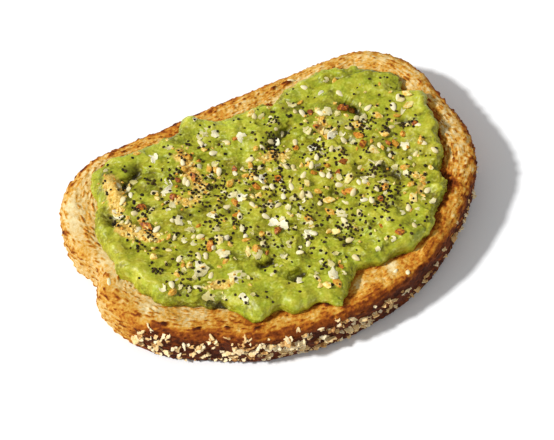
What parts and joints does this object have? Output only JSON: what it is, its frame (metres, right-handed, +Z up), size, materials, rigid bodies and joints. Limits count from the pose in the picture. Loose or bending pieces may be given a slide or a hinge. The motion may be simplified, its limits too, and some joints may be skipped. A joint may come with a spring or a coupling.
{
  "type": "avocado toast",
  "caption": "Slice of toasted wholegrain bread with an oat-rolled crust, spread with smashed avocado and strewn with seeds, dried onion and toasted garlic.",
  "frame": {"origin": "middle of the slice's outline, on the plane that it rests on", "axes": "+X along the slice's long side, +Y towards the flat base side of the loaf, -Y towards the domed crust, +Z up out of the spread"},
  "size_m": [0.1429, 0.0972, 0.0253],
  "materials": {
    "toasted_bread": "matt, porous crumb, golden with browned rim and dark brown crust",
    "mashed_avocado": "moist, softly glossy paste with lumps and knife strokes",
    "rolled_oats": "matt, floury flakes, cream to tan",
    "sesame_seed": "smooth, satin, cream white",
    "poppy_seed": "matt, blue black, finely pitted",
    "toasted_garlic": "dry granules, golden to red brown",
    "dried_onion": "thin waxy flakes, pale and slightly clear"
  },
  "bodies": {
    "root": {"bread_slice": "toasted_bread", "avocado_spread": "mashed_avocado"}
  },
  "joints": []
}
